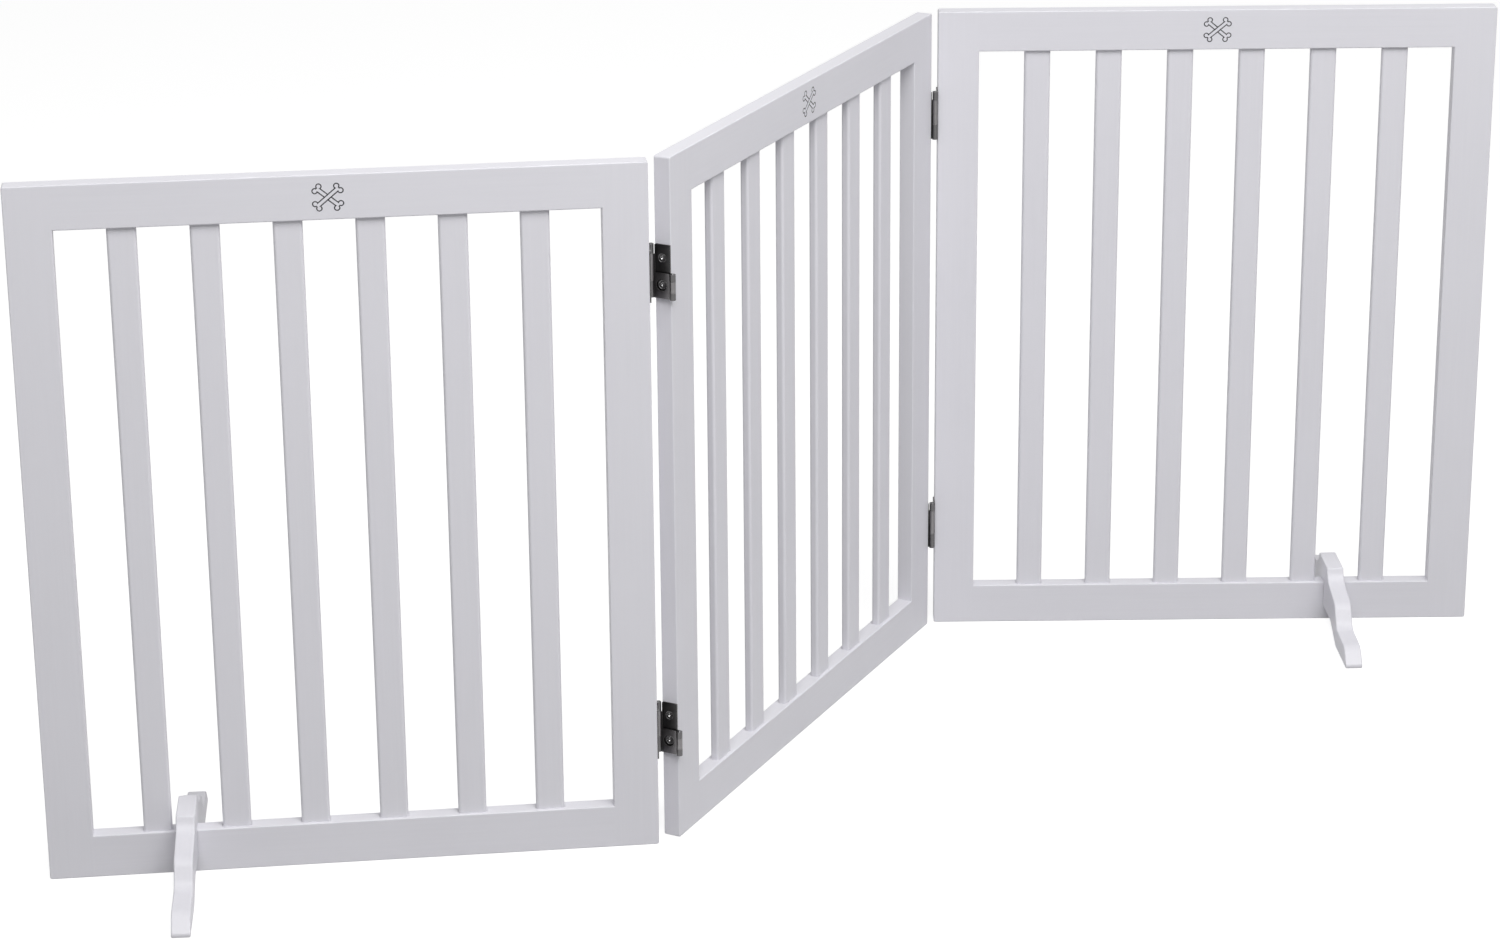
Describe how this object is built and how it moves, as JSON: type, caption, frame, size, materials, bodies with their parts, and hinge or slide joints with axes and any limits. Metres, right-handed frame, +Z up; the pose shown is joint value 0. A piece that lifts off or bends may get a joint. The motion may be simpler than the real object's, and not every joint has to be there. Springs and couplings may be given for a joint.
{
  "type": "folding pet gate",
  "caption": "Free-standing folding pet gate: painted slatted wooden panels joined by double-action screen hinges, with saddle feet over the bottom rails of the outer panels.",
  "frame": {"origin": "middle of the centre panel's bottom face, on the floor", "axes": "+X along the centre panel to the viewer's right, +Z up, the centre panel's front faces -Y"},
  "size_m": [1.165, 0.9108, 0.61],
  "materials": {
    "painted_wood": "satin white paint",
    "dowel_wood": "bare beech",
    "hinge_steel": "rolled sheet, dull nickel",
    "screw_steel": "dull nickel"
  },
  "bodies": {
    "centre_panel": {"centre_panel_left_stile": "painted_wood", "centre_panel_right_stile": "painted_wood", "centre_panel_bottom_rail": "painted_wood", "centre_panel_top_rail": "painted_wood", "centre_panel_dowels": "dowel_wood", "centre_panel_hinge_screws": "screw_steel", "centre_panel_slat_1": "painted_wood", "centre_panel_slat_2": "painted_wood", "centre_panel_slat_3": "painted_wood", "centre_panel_slat_4": "painted_wood", "centre_panel_slat_5": "painted_wood", "centre_panel_slat_6": "painted_wood", "left_upper_hinge_inner_leaf": "hinge_steel", "left_lower_hinge_inner_leaf": "hinge_steel", "right_upper_hinge_inner_leaf": "hinge_steel", "right_lower_hinge_inner_leaf": "hinge_steel"},
    "left_hinge_links": {"left_upper_hinge_link": "hinge_steel", "left_upper_hinge_main_pin": "screw_steel", "left_upper_hinge_minor_pin": "screw_steel", "left_lower_hinge_link": "hinge_steel", "left_lower_hinge_main_pin": "screw_steel", "left_lower_hinge_minor_pin": "screw_steel"},
    "left_panel": {"left_panel_left_stile": "painted_wood", "left_panel_right_stile": "painted_wood", "left_panel_bottom_rail": "painted_wood", "left_panel_top_rail": "painted_wood", "left_panel_dowels": "dowel_wood", "left_panel_hinge_screws": "screw_steel", "left_panel_slat_1": "painted_wood", "left_panel_slat_2": "painted_wood", "left_panel_slat_3": "painted_wood", "left_panel_slat_4": "painted_wood", "left_panel_slat_5": "painted_wood", "left_panel_slat_6": "painted_wood", "left_upper_hinge_outer_leaf": "hinge_steel", "left_lower_hinge_outer_leaf": "hinge_steel"},
    "right_hinge_links": {"right_upper_hinge_link": "hinge_steel", "right_upper_hinge_main_pin": "screw_steel", "right_upper_hinge_minor_pin": "screw_steel", "right_lower_hinge_link": "hinge_steel", "right_lower_hinge_main_pin": "screw_steel", "right_lower_hinge_minor_pin": "screw_steel"},
    "right_panel": {"right_panel_left_stile": "painted_wood", "right_panel_right_stile": "painted_wood", "right_panel_bottom_rail": "painted_wood", "right_panel_top_rail": "painted_wood", "right_panel_dowels": "dowel_wood", "right_panel_hinge_screws": "screw_steel", "right_panel_slat_1": "painted_wood", "right_panel_slat_2": "painted_wood", "right_panel_slat_3": "painted_wood", "right_panel_slat_4": "painted_wood", "right_panel_slat_5": "painted_wood", "right_panel_slat_6": "painted_wood", "right_upper_hinge_outer_leaf": "hinge_steel", "right_lower_hinge_outer_leaf": "hinge_steel"},
    "left_foot": {"left_foot": "painted_wood"},
    "right_foot": {"right_foot": "painted_wood"}
  },
  "joints": [
    {"name": "left_link_swing", "type": "hinge", "parent": "centre_panel", "child": "left_hinge_links", "pos_m": [-0.26055, -0.01, 0.305], "axis": [0, 0, 1], "range_deg": [0, 90]},
    {"name": "left_panel_fold", "type": "hinge", "parent": "left_hinge_links", "child": "left_panel", "pos_m": [-0.26055, 0.01, 0.305], "axis": [0, 0, -1], "range_deg": [-56.6, 103.4]},
    {"name": "right_link_swing", "type": "hinge", "parent": "centre_panel", "child": "right_hinge_links", "pos_m": [0.26055, 0.01, 0.305], "axis": [0, 0, 1], "range_deg": [0, 90]},
    {"name": "right_panel_fold", "type": "hinge", "parent": "right_hinge_links", "child": "right_panel", "pos_m": [0.26055, -0.01, 0.305], "axis": [0, 0, -1], "range_deg": [-62.8, 97.2]},
    {"name": "left_foot_lift", "type": "slide", "parent": "left_panel", "child": "left_foot", "axis": [0, 0, 1], "range_m": [0, 0.06]},
    {"name": "right_foot_lift", "type": "slide", "parent": "right_panel", "child": "right_foot", "axis": [0, 0, 1], "range_m": [0, 0.06]}
  ]
}
